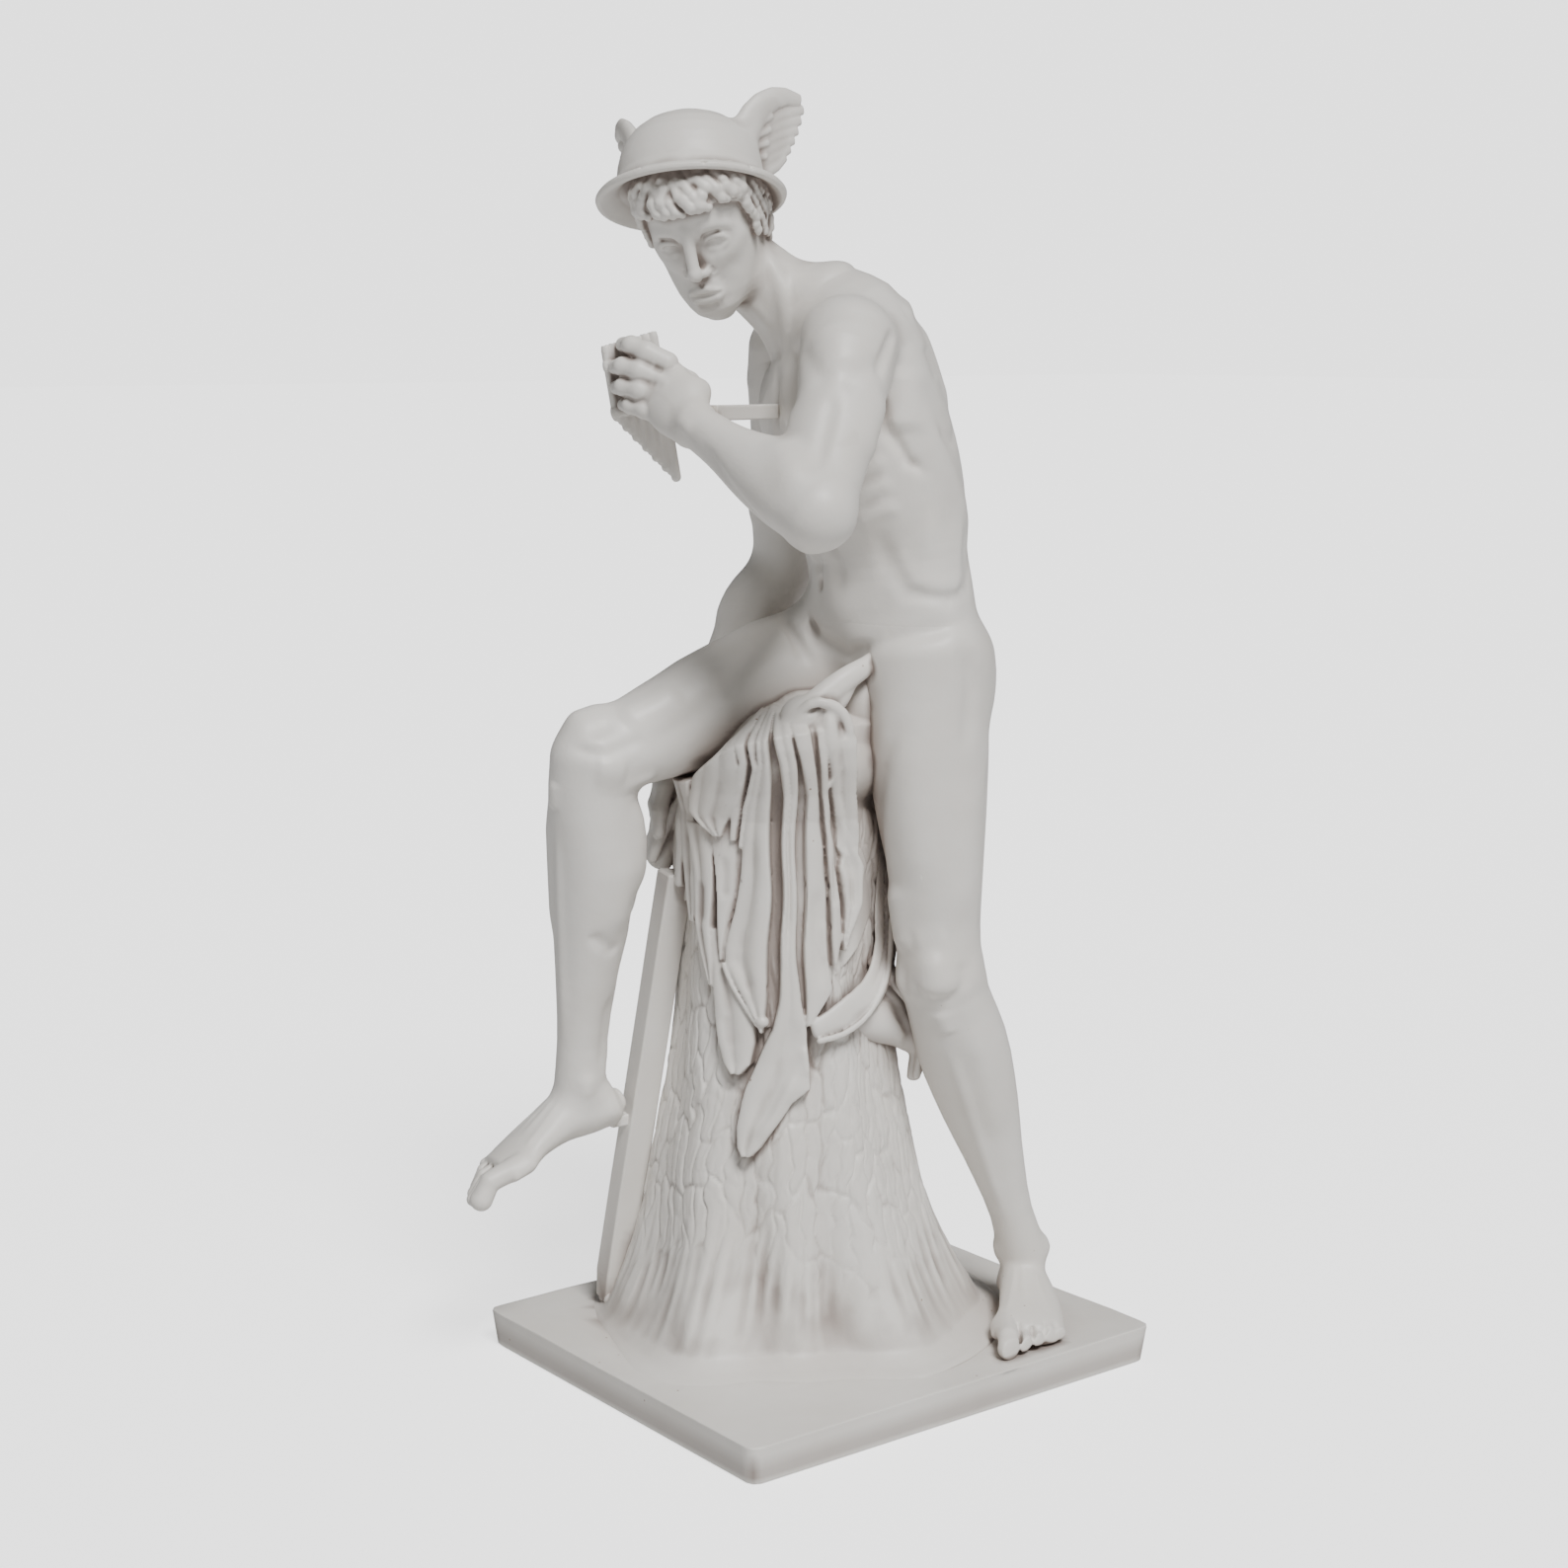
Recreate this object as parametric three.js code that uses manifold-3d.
// Tabletop statue of cast alabaster: a youth in a winged traveller's hat, half seated on a draped
// tree stump, with a set of reed pipes in one hand. The whole work is one casting on a flat slab.
// Units are millimetres, +Z up. The origin is the centre of the slab's underside.
// The figure faces -X, so its left side is towards -Y.

import * as THREE from 'three';
import { mergeVertices } from 'three/addons/utils/BufferGeometryUtils.js';
import Module from 'manifold-3d';

const wasm = await Module();
wasm.setup();

// Driving dimensions

const STONE = { color: 0xe6e2da, roughness: 0.55, metalness: 0 };
const SLAB = { length: 150, width: 134, height: 11, corner: 3, draft: 1.2 };
const STUMP = { x: -5.1, y: 10.2, top: 178, flutes: 9, fluteDepth: 1.3, roots: 5, sides: 36 };
const CLOTH = { thickness: 1.2, sides: 45, rows: 4 };
const PIPES = { count: 7, crest: 1.25, valley: 0.7, shortest: 21, longest: 42 };
const BAR = { wide: 8, deep: 7, foot: [-38.5, 54, 12.5], head: [-31, 27, 148], ball: 2.4 };
const STRUT = { wide: 4.2, deep: 3.4 };
const WELD = 0.3;

// Joints of the figure

const JOINT = {
  neckRoot: [5, 4, 299],
  neckTop: [-17, 18.5, 326],
  shoulderLeft: [-12, -28.6, 302],
  elbowLeft: [-42.5, -53.5, 257.6],
  wristLeft: [-48.2, -6, 279.6],
  shoulderRight: [15, 32, 300],
  elbowRight: [22.4, 45.9, 231.9],
  wristRight: [-11.8, 47, 184.5],
  hipLeft: [18.2, -24.7, 213],
  kneeLeft: [19.7, -32.9, 120.3],
  ankleLeft: [53.7, -33.1, 29],
  hipRight: [21.6, 11.1, 210],
  kneeRight: [-63.3, 23.5, 185.2],
  ankleRight: [-59.9, 38.6, 83.5],
};

// Directions that the parts of the figure face

const FACING = { pelvis: [-0.982, 0.137, 0], chest: [-0.926, 0.379, -0.15] };
const HEAD = {
  centre: [-28.4, 15.6, 335.8],
  forward: [-0.692, -0.534, -0.485],
  up: [-0.475, -0.169, 0.863],
  size: 0.955,
};
const HAT = { centre: [-31, 18.8, 342], forward: [-0.836, -0.484, 0.26], up: [0.1405, 0.2705, 0.952] };
const FOOT_LEFT = { centre: [53.7, -33.1, 11], forward: [-0.63, -0.777, 0], up: [0, 0, 1] };
const FOOT_RIGHT = { centre: [-55.6, 38.1, 69.5], forward: [-0.945, 0.117, -0.305], up: [-0.3, 0.04, 0.95] };

// Rings of each limb: [share of the way along, front, back, outer, inner], the last four being radii

const THIGH = [
  [0.0, 19, 21, 18, 17],
  [0.2, 19.5, 20, 18, 18],
  [0.45, 18, 17.5, 16.5, 16],
  [0.7, 15.5, 14.5, 14.3, 13.8],
  [0.88, 13, 12.8, 12.5, 12.8],
  [1.0, 12.8, 12, 12, 12.5],
];
const SHANK = [
  [0.0, 12.4, 12, 12.2, 12.6],
  [0.1, 12.4, 13, 12.8, 12.8],
  [0.25, 11, 16.5, 14, 14],
  [0.45, 9.5, 14.5, 12, 12],
  [0.65, 8, 10.8, 8.8, 8.8],
  [0.85, 7, 8.2, 6.8, 6.8],
  [1.0, 7.2, 8.5, 7.6, 7.8],
];
const UPPER_ARM = [
  [0.0, 13, 13, 13.5, 10],
  [0.15, 13, 13.5, 14, 11],
  [0.35, 11.5, 12.5, 11.5, 10.5],
  [0.6, 12, 11.5, 10, 10],
  [0.85, 9.8, 10, 9.4, 9.4],
  [1.0, 9, 9.6, 9.6, 9.6],
];
const FOREARM = [
  [0.0, 11, 9.6, 10, 10],
  [0.2, 12.6, 10.4, 11, 10.8],
  [0.45, 10.6, 9.4, 9.8, 9.4],
  [0.75, 7.2, 6.8, 7.4, 7.2],
  [1.0, 5.8, 5.4, 7, 6.8],
];
const TORSO = [
  [0.0, 11, 12, 14, 14],
  [0.07, 17, 17, 24, 26],
  [0.16, 22, 21, 32, 34],
  [0.3, 26, 24.5, 35, 36.5],
  [0.48, 24, 25, 34, 34],
  [0.62, 21.5, 21.5, 31, 31],
  [0.74, 21.5, 21.5, 33, 33],
  [0.87, 19, 25, 34, 34],
  [0.96, 14, 22, 28, 28],
  [1.0, 8, 15, 20, 20],
];
const NECK = [
  [0.0, 13, 14, 16, 16],
  [0.4, 11, 12, 12.5, 12.5],
  [1.0, 10.5, 11, 10.5, 10.5],
];

// Level sections of the head in its own frame: [height, front, back, half width]

const SKULL = [
  [-24.5, 14, 4, 5],
  [-22.5, 16, -3, 8.5],
  [-18.5, 17, -9, 12],
  [-14, 17.6, -14, 13.8],
  [-8.5, 17.6, -18, 15],
  [-3.5, 17.4, -21, 15.8],
  [0.5, 17.6, -22.5, 16.2],
  [4.5, 18, -23.4, 16.6],
  [10, 17.8, -23.6, 16.6],
  [16, 15.6, -22, 15.4],
  [21, 10, -17, 11.5],
  [24.5, 3, -8, 5],
];
const HEAD_LEVELS = [
  -24.5, -22.6, -20.6, -18, -15.8, -14.4, -13, -11, -9.2, -7.8, -5.6, -2.6, 0.4, 2.8, 5, 8.5, 12, 17, 22,
];
const HEAD_SIDES = 22;

// Ridge of the nose: [height, how far it stands out, half width]

const NOSE = [
  [-10, 0, 3.6],
  [-8.8, 1.4, 3.6],
  [-7.6, 5, 3.2],
  [-5.6, 4.8, 2.8],
  [-2.5, 3.2, 2.2],
  [1, 2, 2.1],
  [5, 0.6, 2.6],
  [8, 0, 3],
];

// Sections across the foot in its own frame: [distance from the ankle, bottom, top, inner, outer]

const FOOT = [
  [-11, 3, 10, 3.5, 3.5],
  [-9, 0.8, 14, 6, 6],
  [-4, 0.2, 19, 7.4, 7.4],
  [2, 0.8, 19, 7.6, 7.6],
  [9, 2, 15.5, 8, 9.4],
  [17, 1.6, 12, 9, 11],
  [25, 0.4, 9, 10.4, 11],
  [30, 0.2, 7.4, 10.4, 10.2],
];

// Toes in the frame of the foot: [start across, end across, reach, radius], the great toe first

const TOES = [
  [6.6, 6.2, 43, 3.9],
  [1.4, 1.4, 42.5, 2.7],
  [-2.4, -2.2, 40.5, 2.5],
  [-5.8, -5.2, 37.5, 2.4],
  [-8.4, -7.4, 34, 2.3],
];

// Radius of the bare stump at each height

const TRUNK = [
  [8, 60],
  [14, 55],
  [26, 48.5],
  [44, 42],
  [68, 37],
  [98, 32],
  [140, 29],
  [168, 28],
  [178, 24],
];

// Folds of the cloth: [bearing in degrees, half angle, how far it stands out, how low it hangs]

const FOLDS = [
  [158, 7, 2.6, 138],
  [173, 6, 3.2, 136],
  [188, 6, 3, 122],
  [204, 6.5, 3.6, 103],
  [219, 6, 3.4, 108],
  [234, 6.5, 4.2, 96],
  [249, 6, 3.6, 103],
  [262, 5.5, 3, 112],
  [276, 7, 3.6, 128],
  [296, 9, 2.4, 134],
  [330, 12, 2.4, 144],
  [6, 12, 2.4, 140],
  [45, 12, 2.8, 146],
  [88, 11, 2.6, 142],
  [124, 9, 3, 138],
];
const HEM = 146;

// Small tools for vectors and solids

const vec = (p) => new THREE.Vector3(...p);
const mix = THREE.MathUtils.lerp;
const smooth = (from, to, value) => THREE.MathUtils.smoothstep(value, from, to);
const joined = (solids) => solids.reduce((whole, solid) => whole.add(solid));

// Wraps a closed mesh as a solid that can be joined and cut.
function solidOf(geometry, weld = 1e-4) {
  const bare = new THREE.BufferGeometry();
  bare.setAttribute('position', geometry.getAttribute('position'));
  if (geometry.index) bare.setIndex(geometry.index);
  const merged = mergeVertices(bare, weld);
  const faces = [];
  const corners = merged.index.array;
  for (let i = 0; i < corners.length; i += 3) {
    const [a, b, c] = corners.slice(i, i + 3);
    if (a !== b && b !== c && c !== a) faces.push(a, b, c);
  }
  const vertProperties = new Float32Array(merged.getAttribute('position').array);
  return new wasm.Manifold(new wasm.Mesh({ numProp: 3, vertProperties, triVerts: new Uint32Array(faces) }));
}

// Matrix that carries +X to forward and +Z to up, at a point.
function frameAt({ centre, forward, up }) {
  const x = vec(forward).normalize();
  const y = vec(up).cross(x).normalize();
  const z = x.clone().cross(y);
  return new THREE.Matrix4().makeBasis(x, y, z).setPosition(vec(centre));
}

// Carries points and directions from a frame of their own to the statue's.
function placer(frame) {
  const matrix = frameAt(frame);
  return {
    matrix,
    point: (p) => vec(p).applyMatrix4(matrix).toArray(),
    direction: (p) => vec(p).transformDirection(matrix).toArray(),
  };
}

// Closes a stack of rings, each with the same number of points, by a fan at each end.
function closedRings(rings) {
  const sides = rings[0].length;
  const points = rings.flat();
  const faces = [];
  for (let ring = 0; ring + 1 < rings.length; ring += 1) {
    for (let i = 0; i < sides; i += 1) {
      const here = ring * sides + i;
      const next = ring * sides + ((i + 1) % sides);
      faces.push(here, next, next + sides, here, next + sides, here + sides);
    }
  }
  for (const [ring, last] of [[0, false], [rings.length - 1, true]]) {
    const middle = new THREE.Vector3();
    rings[ring].forEach((p) => middle.addScaledVector(p, 1 / sides));
    points.push(middle);
    for (let i = 0; i < sides; i += 1) {
      const here = ring * sides + i;
      const next = ring * sides + ((i + 1) % sides);
      faces.push(...(last ? [here, next, points.length - 1] : [next, here, points.length - 1]));
    }
  }
  const geometry = new THREE.BufferGeometry();
  geometry.setAttribute('position', new THREE.Float32BufferAttribute(points.flatMap((p) => p.toArray()), 3));
  geometry.setIndex(faces);
  return geometry;
}

// Values of a table at a place between its rows, eased a little towards each row.
function tableAt(table, place) {
  let row = 0;
  while (row + 2 < table.length && table[row + 1][0] < place) row += 1;
  const [from, to] = [table[row], table[row + 1]];
  const share = THREE.MathUtils.clamp((place - from[0]) / (to[0] - from[0]), 0, 1);
  const eased = mix(share, smooth(0, 1, share), 0.5);
  return from.slice(1).map((value, i) => mix(value, to[i + 1], eased));
}

// Skins a limb along a path from its near joint to its far one. Its front faces the direction given
// for each end. On a left limb the outer side is front x path, and on a right limb it is opposite.
// Each bulge, [centre, radius, height], swells the skin around a point, and caps says how round the
// two ends are.
function limb(shape) {
  const { path, front, table, outerSign = 1, sides = 12, steps = 8, caps = [0.55, 0.55], bulges = [] } = shape;
  const stops = path.map(vec);
  const curve = stops.length > 2 ? new THREE.CatmullRomCurve3(stops) : new THREE.LineCurve3(...stops);
  const fronts = front.map(vec);
  const ringAt = (share, scale, push) => {
    const [ahead, behind, outer, inner] = tableAt(table, share);
    const along = curve.getTangentAt(share);
    const hint = fronts[0].clone().lerp(fronts[fronts.length - 1], share);
    const side = hint.cross(along).normalize();
    const face = along.clone().cross(side).normalize();
    const centre = curve.getPointAt(share).addScaledVector(along, push);
    return Array.from({ length: sides }, (_, i) => {
      const angle = (i / sides) * Math.PI * 2;
      const across = Math.cos(angle);
      const deep = Math.sin(angle);
      const wideRadius = across * outerSign > 0 ? outer : inner;
      const deepRadius = deep > 0 ? ahead : behind;
      const outward = side.clone().multiplyScalar(across * wideRadius);
      outward.addScaledVector(face, deep * deepRadius);
      const point = centre.clone().addScaledVector(outward, scale);
      outward.normalize();
      for (const [middle, radius, height] of bulges) {
        const near = Math.max(0, 1 - (point.distanceTo(vec(middle)) / radius) ** 2);
        point.addScaledVector(outward, height * near * near);
      }
      return point;
    });
  };
  const domeAt = (share, sign) => {
    const round = caps[share];
    const reach = Math.min(...tableAt(table, share)) * round;
    const lifts = round > 0.8 ? [0.5, 0.85] : [0.65];
    return lifts.map((lift) => ringAt(share, Math.sqrt(1 - lift * lift), sign * reach * lift));
  };
  const body = Array.from({ length: steps + 1 }, (_, i) => ringAt(i / steps, 1, 0));
  return solidOf(closedRings([...domeAt(0, -1).reverse(), ...body, ...domeAt(1, 1)]));
}

// A soft rod, such as a finger or a fold: radii spaced evenly along its path, flattened to its face.
function rod({ path, face = [0, 0, 1], radii, flat = 1, sides = 6, steps = 3 }) {
  const last = radii.length - 1;
  const table = radii.map((radius, i) => [i / last, radius * flat, radius * flat, radius, radius]);
  return limb({ path, front: [face], table, sides, steps });
}

// A smooth round form: a sphere stretched to three half sizes along its frame.
function ovoid(frame, halfSizes, detail = [12, 8]) {
  const ball = new THREE.SphereGeometry(1, ...detail);
  ball.rotateX(Math.PI / 2);
  ball.scale(...halfSizes);
  return solidOf(ball.applyMatrix4(frameAt(frame)));
}

// A straight bar of rectangular section between two points.
function beam(from, to, wide, deep, up = [0, 0, 1]) {
  const along = vec(to).sub(vec(from));
  const centre = vec(from).addScaledVector(along, 0.5).toArray();
  const box = new THREE.BoxGeometry(along.length(), wide, deep);
  return solidOf(box.applyMatrix4(frameAt({ centre, forward: along.toArray(), up })));
}

// Torso and limbs

function torso() {
  const trunk = limb({
    path: [
      [3, 4, 316],
      [8.2, -1.3, 303],
      [11.6, -2.6, 282],
      [15.9, -4.7, 260],
      [19.3, -6.1, 243],
      [20.9, -7.3, 228],
      [20.9, -7.3, 212],
      [20, -6, 193],
    ],
    front: [FACING.chest, FACING.pelvis],
    table: TORSO,
    sides: 18,
    steps: 13,
    bulges: [
      [[-13, -6, 288], 15, 3],
      [[-4, 18, 288], 15, 3],
      [[-6, -2, 243], 16, 2],
      [[40, -24, 206], 20, 2.5],
      [[44, 4, 206], 20, 3.5],
      [[4, -22, 308], 16, 3],
      [[13, 20, 308], 16, 3],
    ],
  });
  const neck = limb({
    path: [JOINT.neckRoot, [-4, 9.5, 313], JOINT.neckTop],
    front: [FACING.chest, HEAD.forward],
    table: NECK,
    steps: 3,
  });
  const yoke = rod({
    path: [JOINT.shoulderLeft, [-4, -12, 304], [5, 4, 306], [12, 20, 303], JOINT.shoulderRight],
    radii: [12.4, 12.6, 12, 12.6, 12.4],
    sides: 9,
    steps: 6,
  });
  return [trunk, neck, yoke];
}

function legs() {
  const left = [[-0.86, -0.5, 0], [-0.8, -0.6, 0], [-0.65, -0.76, 0]];
  const right = [[-0.2, 0.1, 1], [-1, 0.1, 0]];
  const kneeLeft = [[[10, -40, 119], 11, 2.5]];
  const kneeRight = [[[-73, 24.5, 188], 13, 2.5]];
  const limbs = [
    { path: [JOINT.hipLeft, JOINT.kneeLeft], front: left.slice(0, 2), table: THIGH, bulges: kneeLeft },
    { path: [JOINT.kneeLeft, JOINT.ankleLeft], front: left.slice(1), table: SHANK, bulges: kneeLeft },
    { path: [JOINT.hipRight, JOINT.kneeRight], front: [right[0]], table: THIGH, bulges: kneeRight },
    { path: [JOINT.kneeRight, JOINT.ankleRight], front: [right[1]], table: SHANK, bulges: kneeRight },
  ];
  return limbs.map((shape, i) => {
    const caps = i % 2 ? [0.9, 0.5] : [0.5, 0.9];
    return limb({ ...shape, outerSign: i < 2 ? 1 : -1, sides: 10, steps: 7, caps });
  });
}

function arms() {
  const left = [[-0.7, 0.6, 0], [0, 0, 1], [0.9, 0, 0.4]];
  const right = [[-1, 0.2, 0], [-0.6, -0.6, 0.3]];
  const limbs = [
    { path: [JOINT.shoulderLeft, JOINT.elbowLeft], front: [left[0]], table: UPPER_ARM },
    { path: [JOINT.elbowLeft, JOINT.wristLeft], front: left.slice(1), table: FOREARM },
    { path: [JOINT.shoulderRight, JOINT.elbowRight], front: [right[0]], table: UPPER_ARM },
    { path: [JOINT.elbowRight, JOINT.wristRight], front: right, table: FOREARM },
  ];
  return limbs.map((shape, i) => {
    return limb({ ...shape, outerSign: i < 2 ? 1 : -1, sides: 9, steps: 6, caps: [0.95, 0.5] });
  });
}

// Hands

const fingers = (paths, radii, face) => paths.map((path) => rod({ path, face, radii, sides: 4, steps: 2 }));

function handLeft() {
  const palm = rod({
    path: [JOINT.wristLeft, [-48.4, 1.5, 284.5], [-47.8, 9, 289.5]],
    face: [-0.78, -0.62, 0],
    radii: [6.6, 8.6, 8.4],
    flat: 0.58,
    sides: 8,
    steps: 2,
  });
  const paths = [
    [[-47.2, 8, 296], [-51.4, 13, 299], [-53.2, 19, 301.5]],
    [[-48, 8.2, 291.2], [-53.2, 13.8, 294], [-55.6, 20.4, 295]],
    [[-48.4, 8, 286.4], [-53.4, 13.4, 289], [-55.4, 20.2, 289.6]],
    [[-48.4, 6.8, 281.4], [-52.6, 12.4, 283.8], [-54.2, 18.6, 284.8]],
  ];
  const thumb = rod({
    path: [[-44, 1.5, 286], [-40.5, 10, 291.5], [-43.6, 19.8, 296]],
    face: [-0.78, -0.62, 0],
    radii: [3.8, 3.2, 2.4],
  });
  return [palm, thumb, ...fingers(paths, [2.9, 2.7, 2.2], [-0.78, -0.62, 0])];
}

function handRight() {
  const palm = rod({
    path: [JOINT.wristRight, [-17, 44.6, 180.5], [-22.5, 41.5, 175]],
    face: [-0.4, 0.3, 0.85],
    radii: [6.6, 8.6, 8.2],
    flat: 0.5,
    sides: 8,
    steps: 2,
  });
  const paths = [0, 1, 2, 3].map((i) => {
    const across = [0.52 * (i - 1.5) * 4.6, 0.85 * (i - 1.5) * 4.6];
    return [
      [-23 + across[0], 41 + across[1], 175.5],
      [-29.5 + across[0], 38 + across[1], 168.5],
      [-30.5 + across[0], 37 + across[1], 159 + i],
    ];
  });
  const thumb = rod({ path: [[-15, 38, 180], [-21, 31, 177], [-27, 27.5, 172]], radii: [3.8, 3.2, 2.4] });
  return [palm, thumb, ...fingers(paths, [3, 2.8, 2.2], [-0.8, 0.3, 0.5])];
}

// Feet: inward is +1 where the inner side of the foot lies to the left of its forward direction

function foot(frame, inward, droop) {
  const at = placer(frame);
  const sides = 10;
  const rings = FOOT.map(([along, bottom, top, inner, outer]) => {
    const middle = mix(bottom, top, 0.42);
    return Array.from({ length: sides }, (_, i) => {
      const angle = (i / sides) * Math.PI * 2;
      const [across, rise] = [Math.cos(angle), Math.sin(angle)];
      const width = across * inward > 0 ? inner : outer;
      const height = rise > 0 ? top - middle : middle - bottom;
      return vec([along, across * width, middle + rise * height]).applyMatrix4(at.matrix);
    });
  });
  const toes = TOES.map(([start, end, reach, radius]) => {
    const path = [
      [26, start * inward, radius + 1],
      [mix(26, reach, 0.6), mix(start, end, 0.6) * inward, radius + 0.8 - droop * 0.4],
      [reach, end * inward, radius - droop],
    ];
    const face = at.direction([0, 0, 1]);
    return rod({ path: path.map(at.point), face, radii: [radius, radius * 0.85], sides: 4, steps: 1 });
  });
  return [solidOf(closedRings(rings)), ...toes];
}

// Head, in its own frame: forward is +X, left is +Y, up is +Z

const bump = (across, up, width, height) => Math.exp(-((across / width) ** 2) - (up / height) ** 2);

// How far the features of a calm, regular face stand out from the plain head.
function featureAt(across, height) {
  const side = Math.abs(across);
  const nose = tableAt(NOSE, height);
  const sockets = -2.8 * bump(side - 7, height - 0.6, 4.2, 2.6);
  const lids = 1.5 * bump(side - 6.8, height - 0.2, 2.6, 1.3);
  const brow = 0.9 * bump(Math.max(0, side - 9), height - 4.2, 4, 1.9);
  const cheeks = 0.9 * bump(side - 9, height + 6, 4, 4);
  const lips = 1.8 * bump(across, height + 13, 4.2, 1.1) + 1.9 * bump(across, height + 15.8, 3.8, 1.2);
  const chin = 2.2 * bump(across, height + 21, 5, 2.4) - 0.9 * bump(across, height + 18, 5, 1.1);
  return nose[0] * Math.exp(-((across / nose[1]) ** 2)) + sockets + lids + brow + cheeks + lips + chin;
}

// Height of the edge of the hair at a bearing from the forward direction.
function hairlineAt(turned) {
  return 11.5 - 11 * smooth(0.75, 1.25, turned) - 13 * smooth(1.5, 2.2, turned);
}

function head() {
  const at = placer(HEAD);
  at.matrix.scale(new THREE.Vector3().setScalar(HEAD.size));
  const rings = HEAD_LEVELS.map((height) => {
    const [front, back, half] = tableAt(SKULL, height);
    const centre = (front + back) / 2;
    return Array.from({ length: HEAD_SIDES }, (_, i) => {
      const turn = (i / HEAD_SIDES) * Math.PI * 2;
      const bearing = turn - 0.45 * Math.sin(turn);
      const turned = Math.min(bearing, Math.PI * 2 - bearing);
      const [ahead, across] = [Math.cos(bearing), Math.sin(bearing)];
      const square = (Math.abs(ahead) ** 2.4 + Math.abs(across) ** 2.4) ** (-1 / 2.4);
      const width = across * half * square;
      const lock = i % 2;
      const hair = smooth(-1, 2.5, height - hairlineAt(turned) + lock * 2) * (1.4 + lock * 1.4);
      const depth = ahead > 0 ? featureAt(width, height) * ahead : 0;
      const reach = ((front - back) / 2) * square;
      const point = [centre + ahead * (reach + hair) + depth, width + across * hair, height];
      return vec(point).applyMatrix4(at.matrix);
    });
  });
  const ears = [-1, 1].map((side) => {
    const frame = {
      centre: at.point([-2, side * 16.2, -1.5]),
      forward: at.direction([1, side * 0.4, 0.2]),
      up: at.direction([-0.2, 0, 1]),
    };
    return ovoid(frame, [3.4, 2, 5.6], [6, 4]);
  });
  return [solidOf(closedRings(rings)), ...ears];
}

// Hat with its wings, in its own frame: up is its axis, and the brim's edge lies at height 0

function hat() {
  const profile = [
    [0, 6],
    [15, 5],
    [26, -0.9],
    [27, 0.2],
    [21.6, 3.2],
    [20.4, 6],
    [19.4, 12],
    [15.6, 18.4],
    [8.6, 22.6],
    [0, 24],
  ];
  const outline = profile.map(([radius, height]) => new THREE.Vector2(radius, height));
  const lathe = new THREE.LatheGeometry(outline, 20);
  lathe.rotateX(Math.PI / 2);
  return solidOf(lathe.applyMatrix4(frameAt(HAT)));
}

function wing(side) {
  const at = placer(HAT);
  const root = new THREE.Vector3(-4, side * 15.5, 11);
  const span = new THREE.Vector3(-0.3, side * 0.46, 0.84).normalize();
  const chord = new THREE.Vector3(-0.8, side * 0.35, -0.5).normalize();
  const spot = (along, across) => root.clone().addScaledVector(span, along).addScaledVector(chord, across);
  const face = at.direction(span.clone().cross(chord).toArray());
  const place = (points) => points.map(([along, across]) => at.point(spot(along, across).toArray()));
  const feathers = 3;
  const shapes = Array.from({ length: feathers }, (_, i) => {
    const share = i / (feathers - 1);
    const path = [
      [mix(5, -3, share), mix(-1, 4, share)],
      [mix(15, 3, share), mix(2, 8, share)],
      [mix(21, 6, share), mix(7, 12, share)],
    ];
    return rod({ path: place(path), face, radii: [3.4, 4, 2.2], flat: 0.42, sides: 5, steps: 2 });
  });
  const edge = [[-6, -1], [4, -4], [13, -4.4], [20, -0.5], [24, 5]];
  shapes.push(rod({ path: place(edge), face, radii: [5.6, 4.8, 4, 3, 1.8], flat: 0.55, sides: 5, steps: 4 }));
  return shapes;
}

// Reed pipes side by side in a raft, each a little longer than the last

function pipes() {
  const ends = [vec([-56.9, 26.2, 300.8]), vec([-43.6, 18.6, 305.2])];
  const down = new THREE.Vector3(0.13, -0.09, -0.987).normalize();
  const across = ends[1].clone().sub(ends[0]).normalize();
  const thick = across.clone().cross(down).normalize();
  const rings = Array.from({ length: PIPES.count * 2 + 1 }, (_, i) => {
    const share = i / (PIPES.count * 2);
    const start = ends[0].clone().lerp(ends[1], share);
    const half = i % 2 ? PIPES.crest : PIPES.valley;
    const length = mix(PIPES.shortest, PIPES.longest, share);
    const corner = (drop, side) => {
      return start.clone().addScaledVector(down, drop).addScaledVector(thick, side * half);
    };
    return [corner(0, 1), corner(0, -1), corner(length, -1), corner(length, 1)];
  });
  return solidOf(closedRings(rings));
}

// Stump, with flutes of bark that spread into roots on the slab

function aroundStump(bearing, reach, height) {
  return new THREE.Vector3(STUMP.x + Math.cos(bearing) * reach, STUMP.y + Math.sin(bearing) * reach, height);
}

function stump() {
  const rings = TRUNK.map(([height, radius]) => {
    const spread = 1 - smooth(12, 70, height);
    return Array.from({ length: STUMP.sides }, (_, i) => {
      const bearing = (i / STUMP.sides) * Math.PI * 2;
      const flute = Math.cos(STUMP.flutes * bearing + Math.sin(3 * bearing) + height * 0.02);
      const root = 0.05 * Math.cos(STUMP.roots * bearing + 0.8) + 0.12 * Math.cos(2 * bearing + 1.31);
      const far = 0.16 * Math.max(0, Math.sin(bearing)) ** 3;
      const reach = radius * (1 + spread * (root - far)) + STUMP.fluteDepth * flute * (1 + spread);
      return aroundStump(bearing, reach, height);
    });
  });
  const knob = rod({ path: [[2, -12, 108], [14, -18, 104], [21, -20, 99]], radii: [9, 7.5, 5.5] });
  const burr = { centre: [-13, 33, 156], forward: [0.3, -1, 0], up: [0, 0, 1] };
  return [solidOf(closedRings(rings)), knob, ovoid(burr, [16, 15, 24], [8, 6])];
}

// Cloth thrown over the stump: a cap with folds that hang to different heights, and loose ends

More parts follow.
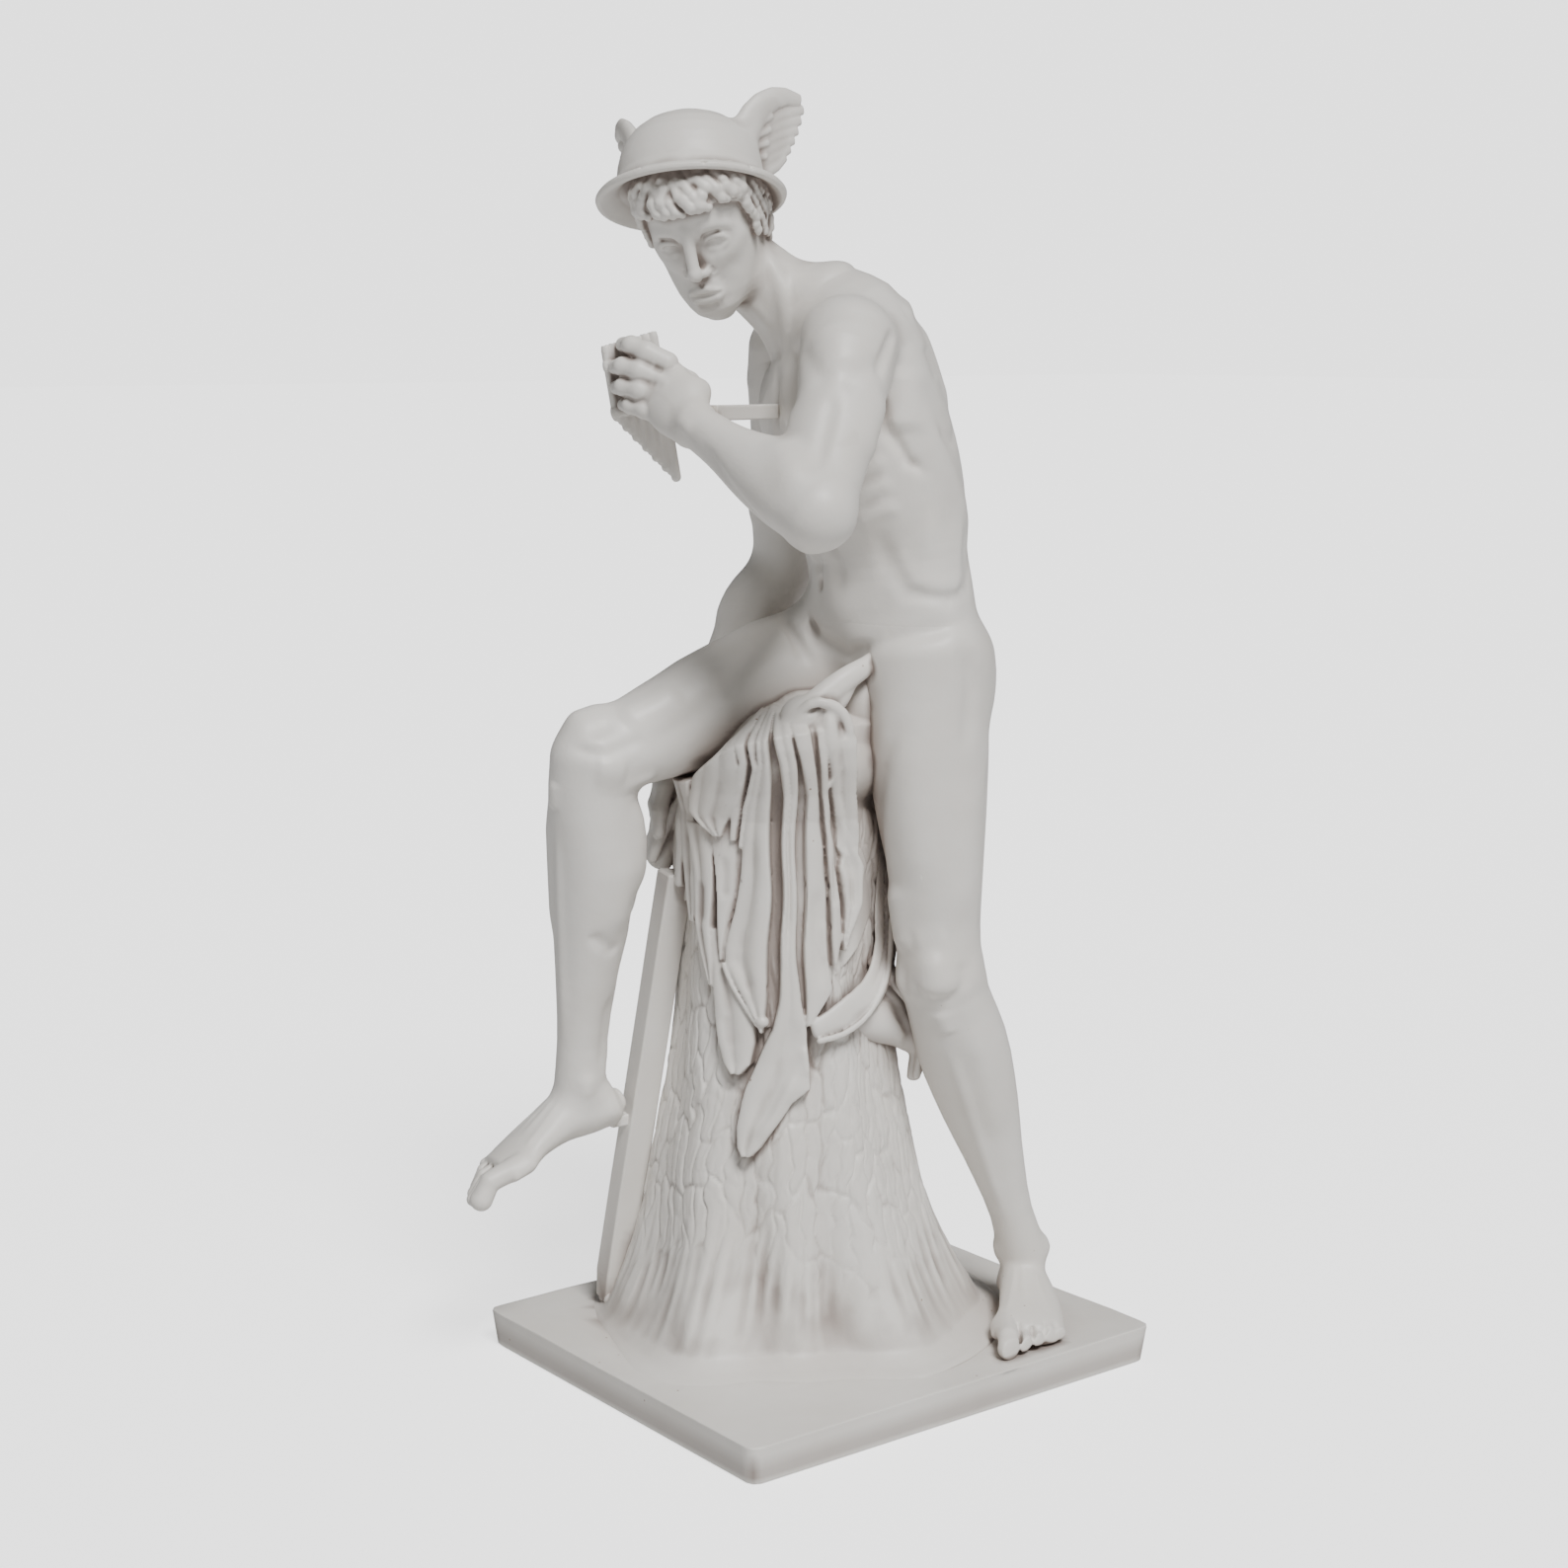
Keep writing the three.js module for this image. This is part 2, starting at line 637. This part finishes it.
function foldAt(bearing) {
  let rise = 0;
  let hem = HEM;
  for (const [middle, half, height, low] of FOLDS) {
    const apart = Math.abs(((bearing - middle + 540) % 360) - 180) / half;
    rise = Math.max(rise, height * Math.max(0, 1 - apart * apart));
    hem = Math.min(hem, mix(low, HEM, smooth(0.3, 1.6, apart)));
  }
  return { rise, hem };
}

function cloth() {
  const spot = (bearing, reach, height) => aroundStump(THREE.MathUtils.degToRad(bearing), reach, height);
  const bearings = Array.from({ length: CLOTH.sides }, (_, i) => (i / CLOTH.sides) * 360);
  const ring = (share, out) => bearings.map((bearing) => {
    const { rise, hem } = foldAt(bearing);
    const height = mix(hem, STUMP.top + 2, share);
    const bare = tableAt(TRUNK, Math.min(height, 150))[0];
    const narrow = 1 - 0.1 * smooth(0.7, 1, share);
    return spot(bearing, (bare + (out ? CLOTH.thickness + rise : -3)) * narrow, height);
  });
  const crown = [[21, 2.5], [11, 6]].map(([reach, lift]) => {
    return bearings.map((bearing) => spot(bearing, reach + foldAt(bearing).rise, STUMP.top + lift));
  });
  const shares = Array.from({ length: CLOTH.rows }, (_, i) => i / (CLOTH.rows - 1));
  const cap = solidOf(closedRings([ring(0, false), ...shares.map((share) => ring(share, true)), ...crown]));
  const outward = [-0.6, -0.8, 0];
  const tail = [[-26, -19, 165], [-27, -20, 135], [-27, -21, 110], [-31, -20.5, 92], [-36, -17, 77]];
  const ends = [
    { path: tail, radii: [3, 4, 5, 7, 5] },
    { path: [[-36, -3, 165], [-38, -5.5, 134], [-36, -10, 114], [-38.5, -9, 98]], radii: [3, 5, 6, 5] },
    { path: [[-37, 3.5, 182], [-39.5, 5.4, 166], [-38, 2, 150], [-37.5, 1, 137]], radii: [5, 7, 4, 3] },
    { path: [[-1, -25, 170], [-1, -25.5, 139], [-8, -25.5, 120], [-19, -23.5, 108]], radii: [4, 6, 6.5, 4] },
    { path: [[12, -17, 118], [18, -20.5, 110], [22, -21, 97], [20, -19, 88]], radii: [4, 4.5, 4, 2.5] },
    { path: [[-22, 30, 172], [-28, 38, 160], [-30, 38, 147]], radii: [8, 7, 4] },
  ].map((end) => rod({ ...end, face: outward, flat: 0.45, sides: 5 }));
  const seat = ovoid({ centre: [-6, -3, 184], forward: [1, 0, 0.1], up: [0, 0, 1] }, [27, 22, 15], [11, 7]);
  const gathers = [
    { path: [[-22, -17, 190], [-20, -25, 197], [-14, -29, 206], [-6, -31, 208]], radii: [4, 5, 4.5, 3] },
    { path: [[-9, -24, 184], [-10, -30, 194], [-7, -31, 204], [-2, -26, 210]], radii: [4, 4.6, 4.6, 4] },
    { path: [[-30, -6, 180], [-25, -14, 189], [-19, -19, 193]], radii: [4, 4.5, 4] },
    { path: [[6, -12, 200], [0, -20, 207], [-3, -25, 216], [2, -24, 226]], radii: [6, 6, 5, 3] },
  ].map((end) => rod({ ...end, face: outward, flat: 0.7, sides: 5, steps: 3 }));
  return [cap, seat, ...ends, ...gathers];
}

// Bar that leans on the stump, and the small struts that the casting keeps

function bar() {
  const [x, y, z] = BAR.foot;
  const ball = { centre: [x, y - 1, z + 1.4], forward: [1, 0, 0], up: [0, 0, 1] };
  return [
    beam(BAR.foot, BAR.head, BAR.wide, BAR.deep, [-0.7, -0.7, 0.2]),
    ovoid(ball, [BAR.ball, BAR.ball + 4, BAR.ball], [8, 6]),
    beam([-49, 38.5, 72], [-35, 43.5, 72], STRUT.wide, STRUT.deep),
    beam([-43.5, -8, 283], [-12, 5, 282.5], STRUT.deep, STRUT.wide),
  ];
}

// Slab

function slab() {
  const corners = [[1, 1], [-1, 1], [-1, -1], [1, -1]];
  const turns = [0, 0.5, 1];
  const outline = (inset, height) => corners.flatMap(([x, y], quarter) => turns.map((turn) => {
    const angle = (quarter + turn) * (Math.PI / 2);
    const [cos, sin] = [Math.cos(angle), Math.sin(angle)];
    const reach = [x * (SLAB.length / 2 - SLAB.corner - inset), y * (SLAB.width / 2 - SLAB.corner - inset)];
    return new THREE.Vector3(reach[0] + cos * SLAB.corner, reach[1] + sin * SLAB.corner, height);
  }));
  return solidOf(closedRings([outline(SLAB.draft, 0), outline(0, SLAB.height)]));
}

// The finished casting, with corners closer together than WELD welded into one

function geometryOf(solid) {
  const mesh = solid.getMesh();
  const geometry = new THREE.BufferGeometry();
  geometry.setAttribute('position', new THREE.BufferAttribute(mesh.vertProperties, 3));
  geometry.setIndex(new THREE.BufferAttribute(mesh.triVerts, 1));
  geometry.computeVertexNormals();
  return geometry;
}

const statue = joined([
  slab(),
  ...stump(),
  ...cloth(),
  ...torso(),
  ...legs(),
  ...arms(),
  ...handLeft(),
  ...handRight(),
  ...foot(FOOT_LEFT, -1, 0),
  ...foot(FOOT_RIGHT, 1, 3),
  ...head(),
  hat(),
  ...wing(1),
  ...wing(-1),
  pipes(),
  ...bar(),
]);

const work = new THREE.Group();
const welded = geometryOf(solidOf(geometryOf(statue), WELD));
const casting = new THREE.Mesh(welded, new THREE.MeshStandardMaterial(STONE));
casting.name = 'statue';
work.add(casting);

export default work;
